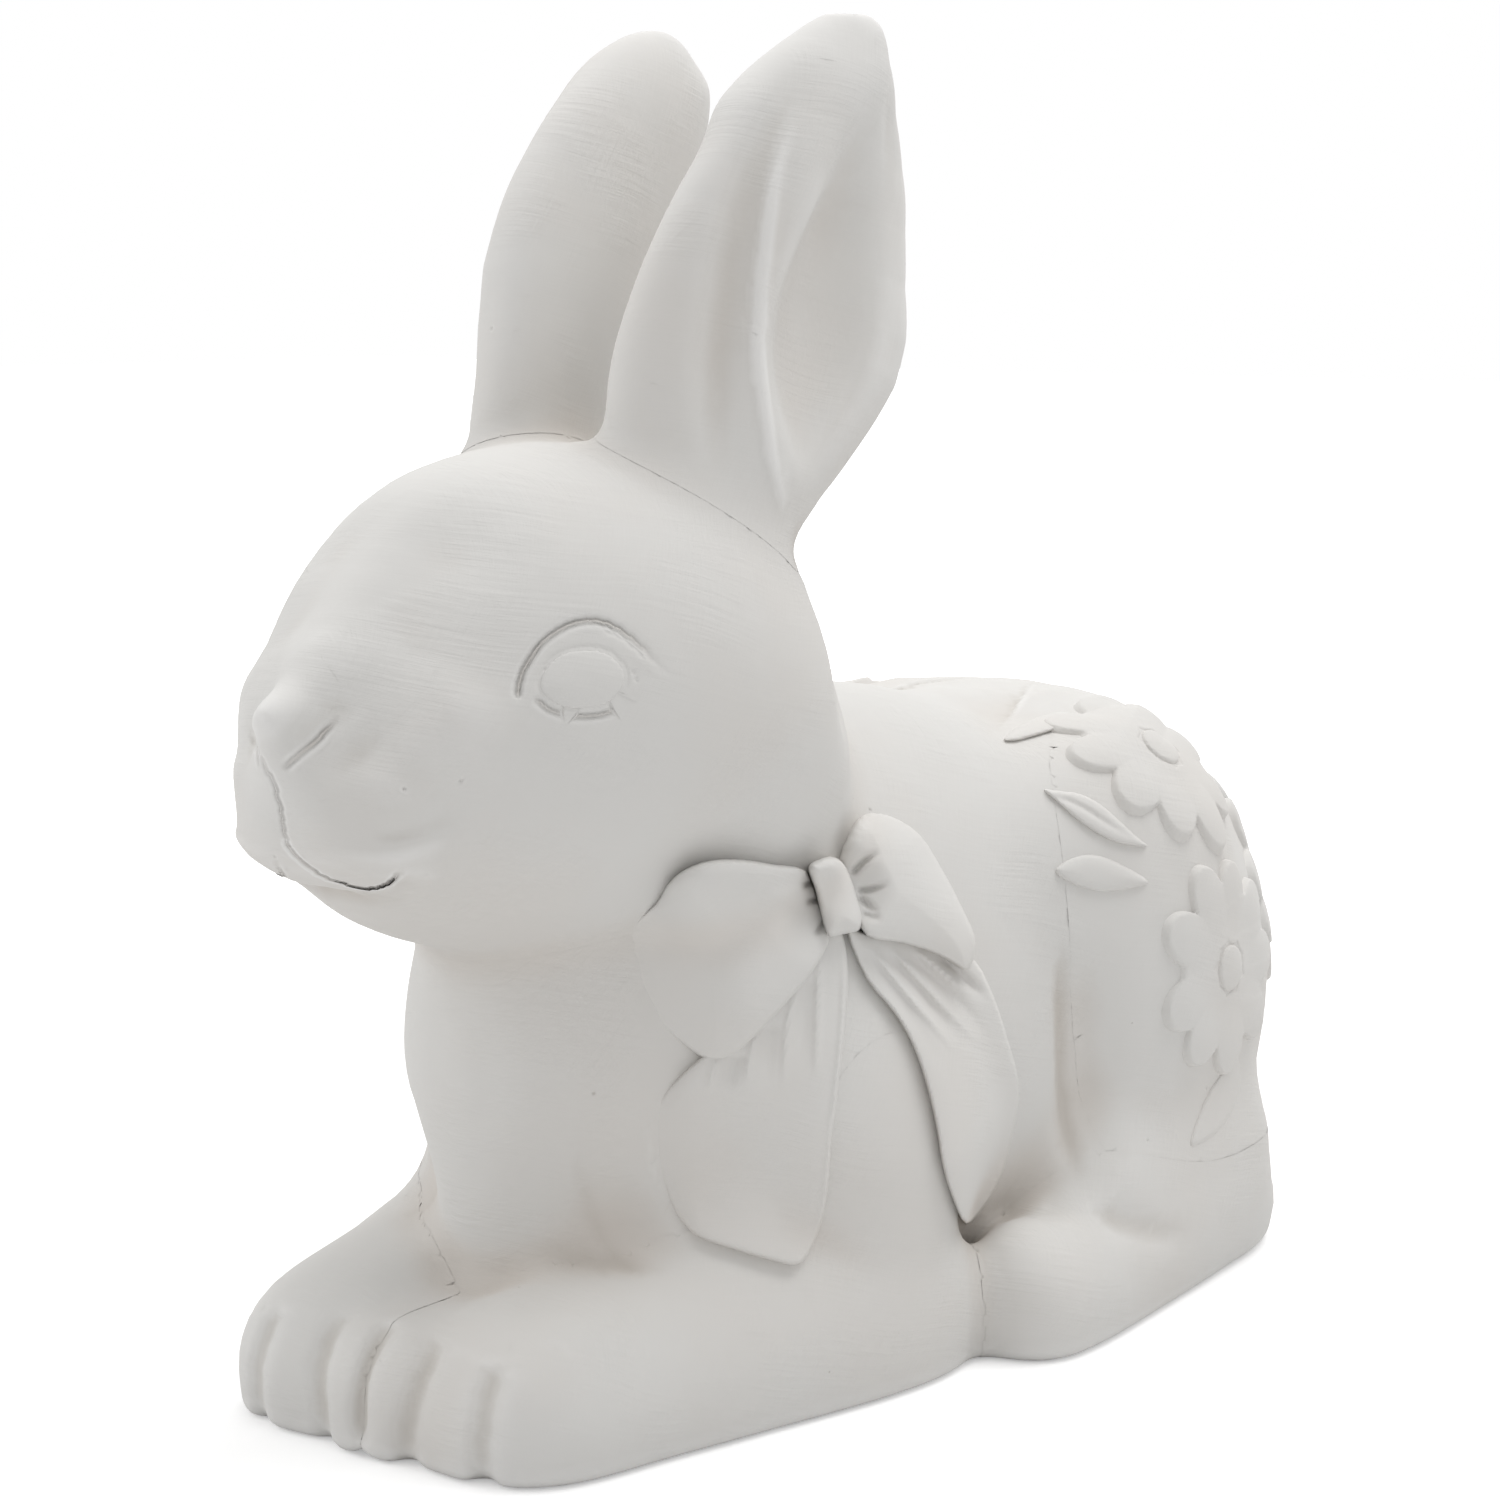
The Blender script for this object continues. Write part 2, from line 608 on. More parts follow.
upper_lid = ((517, 700), (518, 690), (521, 676), (528, 662), (540, 645), (556, 632), (575, 623), (595, 621),
             (612, 626), (630, 638), (645, 651), (655, 663), (672, 676))
lid_fold = ((600, 630), (618, 637), (634, 649), (646, 661))
eye_outline = ((538, 690), (541, 672), (553, 657), (570, 649), (589, 647), (607, 651), (620, 661), (627, 675),
               (622, 692), (608, 705), (589, 711), (568, 710), (551, 704))
lower_lid = ((533, 697), (548, 709), (567, 715), (589, 716), (609, 712), (626, 701))
nostril = ((283, 770), (297, 757), (313, 744), (327, 730), (340, 717))
lip_line = ((248, 725), (253, 742), (265, 765), (275, 787), (281, 808), (284, 828), (288, 845))
mouth = ((288, 845), (300, 860), (315, 872), (331, 880), (345, 884), (359, 888), (375, 888), (391, 882),
         (404, 866))
scribe(cast(curve(upper_lid)), 0.9, 0.32, ends=(0.06, 0.35))
scribe(cast(curve(lid_fold)), 0.20, 0.20)
scribe(cast(curve(eye_outline, closed=True)), 0.14, 0.20, ends=(0, 0))
scribe(cast(curve(lower_lid)), 0.8, 0.30, ends=(0.1, 0.2))
scribe(cast(curve(nostril)), 1.0, 0.30, ends=(0.15, 0.35), burr=0.15)
scribe(cast(curve(lip_line)), 0.6, 0.28, ends=(0.3, 0), mirrored=False)
scribe(cast(curve(mouth)), 0.8, 0.30, ends=(0, 0.12), burr=0.25, mirrored=False)
far_mouth = cast(curve(mouth[1:])) * (-1, 1, 1)
scribe(far_mouth, 0.6, 0.30, ends=(0.25, 0.35), mirrored=False)
pits = ((461, 780), (570, 815), (404, 789), (544, 670), (632, 673), (635, 680), (1147, 1141), (1138, 1019),
        (869, 811), (569, 438), (1206, 1088), (276, 856), (553, 822), (498, 838), (493, 329))
for pixel in pits:
    scribe(np.repeat(cast([pixel]), 2, 0), 0.35, 0.17, ends=(0, 0), mirrored=False)
report(f"{len(thin_marks)} thin marks")

# %% [markdown]
# Grooves part the toes of the paws, and soft creases run where a limb meets the body. These are wider than
# the lattice's step, so they are pressed into the field.

# %% Toes and creases
middle_toe = ((392, 1322), (388, 1330), (375, 1360), (366, 1400), (368, 1430), (380, 1452), (390, 1466))
inner_toe = ((440, 1334), (435, 1345), (425, 1368), (413, 1400), (406, 1430), (405, 1455), (408, 1470))
outer_toe = ((498, 1362), (494, 1374), (487, 1397), (482, 1430), (480, 1460), (482, 1488))
paw_crease = ((515, 1256), (560, 1256), (600, 1262), (640, 1269), (680, 1281))
haunch_edge = ((1062, 930), (1060, 980), (1060, 1040), (1062, 1100), (1071, 1150), (1086, 1190))
haunch_hollow = ((1088, 930), (1084, 990), (1084, 1050), (1086, 1100), (1095, 1150), (1108, 1190))
foot_crease = ((1090, 1200), (1108, 1215), (1130, 1225), (1165, 1231), (1205, 1232))
foot_top = ((985, 1218), (1020, 1213), (1055, 1211), (1085, 1208))
press(on_middle(curve(middle_toe, steps=3)), 1.2 * mm, 1.5 * mm, ends=(0.4, 0.0), mirrored=False)
for toe in (inner_toe, outer_toe):
    stroke(toe, 1.0, 1.35, ends=(0.4, 0.0))
stroke(paw_crease, 0.5, 1.6, ends=0.4, mirrored=False)
stroke(haunch_hollow, 1.1, 3.8, ends=0.3)
stroke(haunch_edge, 0.6, 1.2, ends=0.3)
stroke(foot_crease, 0.9, 2.0, ends=0.35)
stroke(foot_top, 0.5, 2.2, ends=0.4)
report("toes and creases pressed")

# %% [markdown]
# ## Raised pieces
# Eyes, bow, daisies and leaves are thin pieces laid on the soft clay and pressed down at their edges. Each
# gets its own window of the lattice at half the step, and is the space between a little under the skin and
# its own height above it. The spray on the far haunch is the near one turned over.

# %% Make a raised piece
sink = 1.0 * mm
pixel_size = camera_distance / focal_pixels
pieces = {}


def outline_gap(at, outline):
    """Distance in the plane from a closed outline, below zero inside it."""
    gap, share = nearest(at, outline)
    inside = np.zeros(len(at), bool)
    for (ax, ay), (bx, by) in zip(outline[:-1], outline[1:]):
        crosses = (at[:, 1] < ay) != (at[:, 1] < by)
        if by != ay:
            inside ^= crosses & (at[:, 0] < ax + (at[:, 1] - ay) / (by - ay) * (bx - ax))
    return np.where(inside, -gap, gap)


def photo_gap(points, outline):
    """Distance from a closed outline that is drawn on the photograph."""
    return outline_gap(shown_at(points), outline) * pixel_size


def window_clay(low, high):
    region, lattice = fine.window(low, high)
    part = clay[region].copy()
    return lattice.finer(), refine(part)


def lattice_points(lattice, near):
    return (np.stack(near, 1) + lattice.first) * lattice.step


def turned_over(mesh):
    points, triangles, quads = mesh
    return points * (-1, 1, 1), triangles[:, ::-1], quads[:, ::-1]


def raised(height, low, high, most, frame_pixels=None):
    """The piece of clay between a little under the skin and its height above the skin."""
    lattice, skin_gap = window_clay(low, high)
    near = np.nonzero((skin_gap < most + 0.3 * mm) & (skin_gap > -2.0 * sink))
    if frame_pixels is not None:
        at = shown_at(lattice_points(lattice, near))
        kept = ((at > frame_pixels[0]) & (at < frame_pixels[1])).all(1)
        near = tuple(index[kept] for index in near)
    field = np.full(lattice.counts, mm, np.float32)
    gap = skin_gap[near]
    over = gap - height(lattice_points(lattice, near), gap)
    field[near] = np.maximum(over, -gap - sink)
    return lattice, field


def keep(node, lattice, field):
    mesh = skin(lattice, field)
    pieces[node] = mesh
    if node.endswith("_left"):
        pieces[node.replace("_left", "_right")] = turned_over(mesh)
    return mesh


def edged(gap, edge, top):
    """A height that drops away outside an edge."""
    return top - (top + 1.6 * sink) * ramp(gap, -edge, edge)


# %% Eyes
eye_border = curve(eye_outline, closed=True)
eye_spots = cast(eye_border)


def eye_height(points, gap):
    edge = photo_gap(points, eye_border) + 0.2 * mm
    dome = 1.0 - np.clip(1.0 + edge / (3.4 * mm), 0.0, 1.0) ** 2
    return edged(edge, 0.16 * mm, 0.06 * mm + 0.4 * mm * dome)


room = 2.5 * mm
low, high = eye_spots.min(0) - room, eye_spots.max(0) + room
keep("eye_left", *raised(eye_height, low, high, mm))

# %% [markdown]
# Each daisy is a ring of cupped petals round a button. The maker cut them one by one, so their lengths and
# angles differ a little, by a seeded random draw. A daisy lies flat on the skin under its CAD disc.

# %% Daisies
petal_count = 9
petal_length = 13.6 * mm
petal_width = 3.5 * mm
petal_lift = 0.85 * mm
disc_radius = 2.9 * mm


def seat(node):
    """The spot under a node, and two directions along the skin there: sideways and up."""
    low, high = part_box(node)
    spot = (np.array(low) + np.array(high)) / 2
    for turn in range(3):
        spot = spot - (outward(fine, clay, spot[None]) * sample(fine, clay, spot[None])[:, None])[0]
    normal = outward(fine, clay, spot[None])[0]
    up = np.array((0.0, 0.0, 1.0)) - normal[2] * normal
    up /= np.linalg.norm(up)
    return spot, np.cross(up, normal), up


def petal_heights(points, bed, turn, uneven):
    spot, across, up = bed
    a, b = (points - spot) @ across, (points - spot) @ up
    away = np.hypot(a, b)
    rise = 0.12 * mm + (petal_lift - 0.12 * mm) * ramp(away, 0.3 * petal_length, 0.85 * petal_length)
    highest = edged(away - 0.76 * petal_length, 0.8 * mm, rise - 0.20 * mm)
    for number in range(petal_count):
        angle = 2 * math.pi * number / petal_count + turn + uneven[number, 0]
        length = petal_length * (1.0 + uneven[number, 1])
        along = a * math.cos(angle) + b * math.sin(angle)
        aside = (b * math.cos(angle) - a * math.sin(angle)) / petal_width
        reach = (along - 0.6 * length) / (0.4 * length)
        edge = (np.sqrt(aside ** 2 + np.abs(reach) ** 2.4) - 1.0) * petal_width
        cup = rise * (1.0 - 0.35 * np.minimum(aside ** 2, 1.0))
        highest = np.maximum(highest, edged(edge, 0.32 * mm, cup))
    return highest


def disc_height(points, bed):
    spot, across, up = bed
    away = np.hypot((points - spot) @ across, (points - spot) @ up)
    dome = 1.0 - np.clip(away / disc_radius, 0, 1) ** 2
    return edged(away - disc_radius, 0.25 * mm, 0.25 * mm + 0.3 * mm * dome)


chance = np.random.default_rng(7)
for daisy in ("daisy_side", "daisy_top", "daisy_rear"):
    bed = seat(daisy + "_disc_left")
    uneven = chance.uniform(-1, 1, (petal_count, 2)) * (0.08, 0.06)
    turn = chance.uniform(0, 1)
    low, high = bed[0] - 1.25 * petal_length, bed[0] + 1.25 * petal_length
    lattice, field = raised(lambda at, gap: petal_heights(at, bed, turn, uneven), low, high, petal_lift)
    lattice, disc = raised(lambda at, gap: disc_height(at, bed), low, high, petal_lift)
    keep(daisy + "_petals_left", lattice, np.maximum(field, 0.18 * mm - disc))
    keep(daisy + "_disc_left", lattice, disc)
report("daisies laid on")

# %% [markdown]
# The bow and the leaves are drawn on the photograph: an outline, how high the piece stands, how far its edge
# is rounded, the side where it fades into the body, and the folds. A fold is a groove, or a bead where its
# depth is below zero.

# %% Draw a piece on the photograph
def towards(at, start, stop):
    """0 at the start pixel, 1 at the stop pixel."""
    way = np.subtract(stop, start)
    return ramp((at - start) @ way / (way @ way), 0.0, 1.0)


def drawn(node, outline, top, bulge, lip=0.5, edge=0.3, soft=None, fade=None, dip=None, folds=()):
    """Keep a piece that is drawn on the photograph. Its sizes are in millimetres."""
    top, bulge, edge = top * mm, bulge * mm, edge * mm
    border = curve(outline, closed=True, steps=3)
    spots = cast(border)
    fold_lines = [(curve(line, steps=3), depth * mm, width * mm) for line, depth, width in folds]

    def height(points, gap):
        at = shown_at(points)
        inside = outline_gap(at, border) * pixel_size
        crown = np.sqrt(np.clip(1.0 - (1.0 - np.clip(-inside / bulge, 0, 1)) ** 2, 0, 1))
        step = lip * towards(at, *soft) if soft else lip
        level = top * (step + (1.0 - step) * crown)
        if dip:
            spot, reach, share = dip
            inwards = 1.0 - ramp(np.linalg.norm(at - spot, axis=1), 0.25 * reach, reach)
            level = level * (1.0 - share * inwards)
        for line, depth, width in fold_lines:
            reach = 2.5 * width / pixel_size
            close = np.nonzero(((at > line.min(0) - reach) & (at < line.max(0) + reach)).all(1))[0]
            off, share = nearest(at[close], line)
            strength = ramp(share, -0.01, 0.2) * ramp(1 - share, -0.01, 0.5)
            level[close] -= depth * strength * np.exp(-(off * pixel_size / width) ** 2)
        if fade:
            kept = towards(at, *fade)
            level = level * kept - 0.35 * mm * (1.0 - kept)
        return edged(inside, edge, level)

    low, high = spots.min(0) - top - 2 * sink, spots.max(0) + top + 2 * sink
    keep(node, *raised(height, low, high, top, (border.min(0) - 12, border.max(0) + 12)))


# %% Bow
knot_outline = ((808, 868), (818, 860), (831, 857), (843, 862), (851, 876), (858, 898), (863, 918),
                (859, 931), (845, 934), (828, 937), (821, 918), (815, 892))
front_loop_outline = ((655, 903), (667, 884), (683, 870), (709, 861), (743, 860), (775, 865), (806, 871),
                      (820, 903), (831, 934), (820, 962), (797, 992), (762, 1030), (736, 1054), (713, 1062),
                      (695, 1054), (662, 1028), (628, 1000), (608, 965), (625, 930))
rear_loop_outline = ((838, 868), (846, 838), (862, 815), (889, 815), (920, 834), (944, 872), (962, 908),
                     (974, 936), (974, 958), (966, 971), (950, 962), (930, 952), (900, 943), (866, 936),
                     (852, 905))
front_ribbon_outline = ((722, 1040), (760, 1010), (800, 960), (829, 930), (844, 936), (849, 975),
                        (847, 1012), (842, 1062), (836, 1105), (831, 1145), (828, 1188), (820, 1228),
                        (801, 1264), (768, 1260), (728, 1248), (696, 1236), (677, 1216), (664, 1188),
                        (654, 1155), (650, 1122), (662, 1095), (688, 1068))
rear_ribbon_outline = ((846, 930), (865, 932), (905, 938), (945, 948), (975, 960), (995, 999),
                       (1008, 1039), (1019, 1080), (1018, 1112), (1011, 1145), (1001, 1178), (985, 1207),
                       (966, 1225), (952, 1198), (942, 1165), (936, 1128), (926, 1085), (912, 1045),
                       (893, 1012), (866, 979))
knot_folds = ((((812, 872), (820, 892), (827, 925)), -0.3, 0.4),
              (((824, 866), (834, 892), (841, 924)), 0.25, 1.2))
front_loop_folds = ((((816, 881), (799, 886)), 0.9, 0.4), (((822, 899), (803, 902)), 0.9, 0.35),
                    (((826, 920), (812, 937)), 0.8, 0.4),
                    (((812, 893), (780, 897), (745, 906)), -0.3, 0.9))
rear_loop_folds = ((((850, 876), (864, 861), (882, 851)), 0.8, 0.4),
                   (((856, 891), (872, 889), (892, 882)), 0.8, 0.4),
                   (((858, 896), (868, 905), (880, 914)), 0.7, 0.4),
                   (((862, 913), (872, 917), (884, 918)), 0.5, 0.4))
front_ribbon_folds = ((((820, 955), (819, 1000), (817, 1050), (814, 1082)), -0.55, 0.4),
                      (((808, 975), (804, 1020), (800, 1075)), 0.4, 0.9),
                      (((796, 990), (788, 1030), (782, 1095)), -0.55, 0.4),
                      (((772, 1020), (768, 1050), (764, 1090)), 0.5, 1.0),
                      (((756, 1035), (750, 1060), (745, 1092)), -0.5, 0.4),
                      (((738, 1050), (732, 1072), (728, 1095)), 0.6, 0.9),
                      (((720, 1058), (713, 1075), (707, 1096)), -0.45, 0.45),
                      (((842, 940), (844, 985), (841, 1040), (835, 1100), (828, 1170), (819, 1225),
                        (803, 1258)),
                       -0.4, 0.4))
rear_ribbon_folds = ((((868, 945), (900, 985), (930, 1020), (958, 1056)), -0.45, 0.4),
                     (((888, 946), (922, 982), (952, 1015), (980, 1045)), -0.45, 0.4),
                     (((912, 948), (945, 975), (975, 1000)), -0.45, 0.4),
                     (((858, 945), (888, 985), (915, 1022), (945, 1075)), 0.4, 1.0),
                     (((878, 945), (912, 985), (942, 1020), (968, 1052)), 0.45, 0.7),
                     (((902, 947), (936, 980), (964, 1008), (990, 1040)), 0.45, 0.7),
                     (((935, 952), (965, 978), (990, 1003)), 0.9, 0.6))
drawn("bow_knot", knot_outline, 4.4, 2.6, lip=0.45, folds=knot_folds)
drawn("bow_loop_front", front_loop_outline, 4.8, 9.0, lip=0.5, soft=((640, 930), (720, 940)),
      fade=((622, 985), (735, 945)), dip=((834, 900), 75, 0.45), folds=front_loop_folds)
drawn("bow_loop_rear", rear_loop_outline, 4.2, 7.0, lip=0.6, soft=((905, 850), (915, 935)),
      dip=((838, 898), 60, 0.45), folds=rear_loop_folds)
drawn("ribbon_front", front_ribbon_outline, 1.5, 2.5, lip=0.7, soft=((655, 1150), (720, 1150)),
      fade=((640, 1150), (700, 1150)), folds=front_ribbon_folds)
drawn("ribbon_rear", rear_ribbon_outline, 1.5, 2.5, lip=0.7, folds=rear_ribbon_folds)
report("bow tied")

# %% Leaves
leaf_top_outline = ((1001, 741), (1012, 728), (1035, 716), (1060, 710), (1080, 713), (1074, 724), (1058, 731),
                    (1035, 738), (1015, 743))
leaf_middle_outline = ((1042, 789), (1060, 790), (1080, 793), (1100, 803), (1120, 820), (1136, 835),
                       (1150, 847), (1135, 847), (1115, 843), (1095, 833), (1075, 819), (1058, 804))
leaf_front_outline = ((1053, 872), (1068, 858), (1092, 853), (1120, 862), (1151, 882), (1130, 890),
                      (1100, 893), (1074, 886))
leaf_low_outline = ((1186, 1150), (1194, 1114), (1212, 1078), (1238, 1050), (1246, 1080), (1236, 1115),
                    (1212, 1142))
leaf_vein = (((1052, 795), (1080, 806), (1110, 825), (1140, 843)), 0.3, 0.35)
drawn("leaf_top_left", leaf_top_outline, 0.7, 2.0, lip=0.2, edge=0.5, fade=((1086, 712), (1062, 718)))
drawn("leaf_middle_left", leaf_middle_outline, 0.7, 1.6, lip=0.45, folds=(leaf_vein,))
drawn("leaf_front_left", leaf_front_outline, 0.8, 2.0, lip=0.15, edge=0.45, soft=((1080, 858), (1085, 888)))
drawn("leaf_low_left", leaf_low_outline, 0.4, 2.4, lip=0.0, edge=1.0)
report("leaves laid on")

# %% [markdown]
# ## How worn each spot is
# Sanding brightens what stands out, and dust and tooling darken what lies deep. The blurred field minus the
# field itself says which is which: above zero on an edge, below zero in a crease. It is kept on each
# vertex, so the material can read it.

# %% Edges and creases
crease_spread = 0.7 * mm
hollow_spread = 3.2 * mm
crease_field = blur(clay, crease_spread / fine.step) - clay
hollow_field = blur(clay[::2, ::2, ::2].copy(), hollow_spread / coarse.step) - clay[::2, ::2, ::2]
report("creases and hollows measured")

# %% [markdown]
# ## Bisque
# Unglazed clay is matt and a little warm. It shows the strokes of the sanding sponge, pinholes left by air
# in the slip, and a faint cloudiness. Each of these is a shader group, so another material could use it.

# %% Shader helpers


def shader_group(name, inputs, outputs):
    """A node group. An input without a value is a vector, and one of four numbers is a colour."""
    tree = bpy.data.node_groups.new(name, "ShaderNodeTree")
    for label, value in inputs.items():
        kind = "Vector" if value is None else "Color" if isinstance(value, tuple) else "Float"
        socket = tree.interface.new_socket(label, in_out="INPUT", socket_type="NodeSocket" + kind)
        if value is not None:
            socket.default_value = value
    for label, kind in outputs.items():
        tree.interface.new_socket(label, in_out="OUTPUT", socket_type="NodeSocket" + kind)
    return tree, tree.nodes.new("NodeGroupInput").outputs, tree.nodes.new("NodeGroupOutput").inputs


def place(tree, kind, links=None, **settings):
    """A node with its settings; links gives its inputs a value or an output."""
    node = tree.nodes.new(kind)
    for label, value in settings.items():
        setattr(node, label, value)
    for label, value in (links or {}).items():
        if isinstance(value, bpy.types.NodeSocket):
            tree.links.new(value, node.inputs[label])
        else:
            node.inputs[label].default_value = value
    return node.outputs


def sum_of(tree, *values):
    total = values[0]
    for value in values[1:]:
        total = place(tree, "ShaderNodeMath", {0: total, 1: value}, operation="ADD")[0]
    return total


def scaled(tree, value, factor):
    return place(tree, "ShaderNodeMath", {0: value, 1: factor}, operation="MULTIPLY")[0]


def between(tree, value, low, high, start, stop, kind="SMOOTHSTEP"):
    """A value moved from one range to another and held at its ends."""
    links = {"Value": value, "From Min": low, "From Max": high, "To Min": start, "To Max": stop}
    return place(tree, "ShaderNodeMapRange", links, interpolation_type=kind)[0]


def noise(tree, spot, scale, detail, roughness=0.5):
    links = {"Vector": spot, "Scale": scale, "Detail": detail, "Roughness": roughness}
    return place(tree, "ShaderNodeTexNoise", links)


def vector_math(tree, operation, a, b):
    return place(tree, "ShaderNodeVectorMath", {0: a, 1: b}, operation=operation)[0]


def blended(tree, share, a, b):
    """Colour a, going over into colour b."""
    return place(tree, "ShaderNodeMix", {"Factor": share, "A": a, "B": b}, data_type="RGBA")["Result"]


# %% Sanding strokes
strokes, given, result = shader_group(
    "sanding_strokes",
    {"Position": None, "Turn": 0.0, "Spacing": 0.0005, "Length": 0.009},
    {"Height": "Float"})
bend = noise(strokes, given["Position"], 45.0, 1.0)["Color"]
bend = vector_math(strokes, "MULTIPLY", bend, (0.004, 0.004, 0.004))
bent = vector_math(strokes, "ADD", given["Position"], bend)
spin = {"Vector": bent, "Angle": given["Turn"]}
turned = place(strokes, "ShaderNodeVectorRotate", spin, rotation_type="X_AXIS")[0]
across = place(strokes, "ShaderNodeMath", {0: 1.0, 1: given["Spacing"]}, operation="DIVIDE")[0]
along = place(strokes, "ShaderNodeMath", {0: 1.0, 1: given["Length"]}, operation="DIVIDE")[0]
stretch = place(strokes, "ShaderNodeCombineXYZ", {"X": along, "Y": along, "Z": across})[0]
stretched = vector_math(strokes, "MULTIPLY", turned, stretch)
lines = noise(strokes, stretched, 1.0, 3.0, 0.55)[0]
patch = noise(strokes, given["Position"], 70.0, 2.0)[0]
patch = between(strokes, patch, 0.42, 0.62, 0.15, 1.0)
strokes.links.new(scaled(strokes, lines, patch), result["Height"])

# %% Pinholes
pinholes, given, result = shader_group(
    "pinholes", {"Position": None, "Scale": 150.0, "Share": 0.15, "Radius": 0.03}, {"Mask": "Float"})
cells = place(pinholes, "ShaderNodeTexVoronoi", {"Vector": given["Position"], "Scale": given["Scale"]})
chosen = place(pinholes, "ShaderNodeSeparateColor", {"Color": cells["Color"]})[0]
chosen = place(pinholes, "ShaderNodeMath", {0: chosen, 1: given["Share"]}, operation="LESS_THAN")[0]
depth = between(pinholes, cells["Distance"], 0.0, given["Radius"], 1.0, 0.0)
pinholes.links.new(scaled(pinholes, depth, chosen), result["Mask"])

# %% Colour of the clay
tones, given, result = shader_group(
    "bisque_tones",
    {"Position": None, "Crease": 0.0, "Hollow": 0.0, "Clay": (0.8, 0.8, 0.8, 1.0),
     "Warm": (0.7, 0.65, 0.6, 1.0), "Dust": (0.5, 0.45, 0.4, 1.0), "Bright": (0.9, 0.9, 0.9, 1.0)},
    {"Color": "Color", "Roughness": "Float"})
cloud = noise(tones, given["Position"], 28.0, 4.0)[0]
speck = noise(tones, given["Position"], 900.0, 3.0)[0]
warmth = between(tones, given["Hollow"], 0.0, -0.0012, 0.0, 0.6)
warmth = sum_of(tones, warmth, between(tones, cloud, 0.4, 0.7, 0.0, 0.3))
colour = blended(tones, warmth, given["Clay"], given["Warm"])
shade = between(tones, given["Crease"], -0.00001, -0.0002, 0.0, 0.38, "LINEAR")
dusty = blended(tones, shade, colour, given["Dust"])
edge = between(tones, given["Crease"], 0.00003, 0.0002, 0.0, 0.8, "LINEAR")
rubbed = blended(tones, edge, dusty, given["Bright"])
tones.links.new(rubbed, result["Color"])
tones.links.new(between(tones, speck, 0.3, 0.7, 0.86, 0.98), result["Roughness"])

# %% The material
bisque = bpy.data.materials.new("bisque")
bisque.use_nodes = True
tree = bisque.node_tree
shader = tree.nodes["Principled BSDF"]
where = place(tree, "ShaderNodeTexCoord")["Object"]


def grouped(group, **links):
    node = tree.nodes.new("ShaderNodeGroup")
    node.node_tree = group
    for label, value in links.items():
        if isinstance(value, bpy.types.NodeSocket):
            tree.links.new(value, node.inputs[label])
        else:
            node.inputs[label].default_value = value
    return node.outputs


crease = place(tree, "ShaderNodeAttribute", attribute_name="crease")["Fac"]
deep = place(tree, "ShaderNodeAttribute", attribute_name="hollow")["Fac"]
clay_colour = (0.690, 0.680, 0.660, 1.0)
warm_colour = (0.655, 0.610, 0.565, 1.0)
dust_colour = (0.40, 0.36, 0.31, 1.0)
bright_colour = (0.80, 0.79, 0.775, 1.0)
look = grouped(tones, Position=where, Crease=crease, Hollow=deep, Clay=clay_colour, Warm=warm_colour,
               Dust=dust_colour, Bright=bright_colour)
level_strokes = grouped(strokes, Position=where, Turn=0.25, Spacing=0.0005, Length=0.009)["Height"]
steep_strokes = grouped(strokes, Position=where, Turn=-0.95, Spacing=0.00045, Length=0.007)["Height"]
small_holes = grouped(pinholes, Position=where, Scale=260.0, Share=0.10, Radius=0.055)["Mask"]
large_holes = grouped(pinholes, Position=where, Scale=75.0, Share=0.12, Radius=0.022)["Mask"]
holes = sum_of(tree, small_holes, large_holes)
height = sum_of(tree, scaled(tree, level_strokes, 0.10 * mm), scaled(tree, steep_strokes, 0.10 * mm),
                scaled(tree, holes, -0.09 * mm))
bump = place(tree, "ShaderNodeBump", {"Height": height, "Strength": 1.0, "Distance": 1.0})["Normal"]
pitted = blended(tree, scaled(tree, holes, 0.45), look["Color"], dust_colour)
tree.links.new(pitted, shader.inputs["Base Color"])
tree.links.new(look["Roughness"], shader.inputs["Roughness"])
tree.links.new(bump, shader.inputs["Normal"])
shader.inputs["Specular IOR Level"].default_value = 0.25
report("material mixed")

# %% [markdown]
# ## Light
# The photograph was made in a light tent: white light from every side and a little more from above and
# behind. The floor is white card, which throws light back under the chin and keeps the shadow.

# %% World, floor and lamps
world = bpy.data.worlds.new("light tent")
bpy.context.scene.world = world
world.use_nodes = True
sky = world.node_tree
sky_path = place(sky, "ShaderNodeLightPath")
seen = sum_of(sky, sky_path["Is Camera Ray"], sky_path["Is Glossy Ray"], sky_path["Is Transmission Ray"])
seen = place(sky, "ShaderNodeMath", {0: seen, 1: 0.5}, operation="GREATER_THAN")[0]
tent = sky.nodes["Background"]
tent.inputs["Color"].default_value = (1.0, 1.0, 1.0, 1.0)
tent.inputs["Strength"].default_value = 0.645
white = place(sky, "ShaderNodeBackground", {"Color": (1.0, 1.0, 1.0, 1.0), "Strength": 1.0})["Background"]
mixed = place(sky, "ShaderNodeMixShader", {0: seen, 1: tent.outputs[0], 2: white})["Shader"]
sky.links.new(mixed, sky.nodes["World Output"].inputs["Surface"])

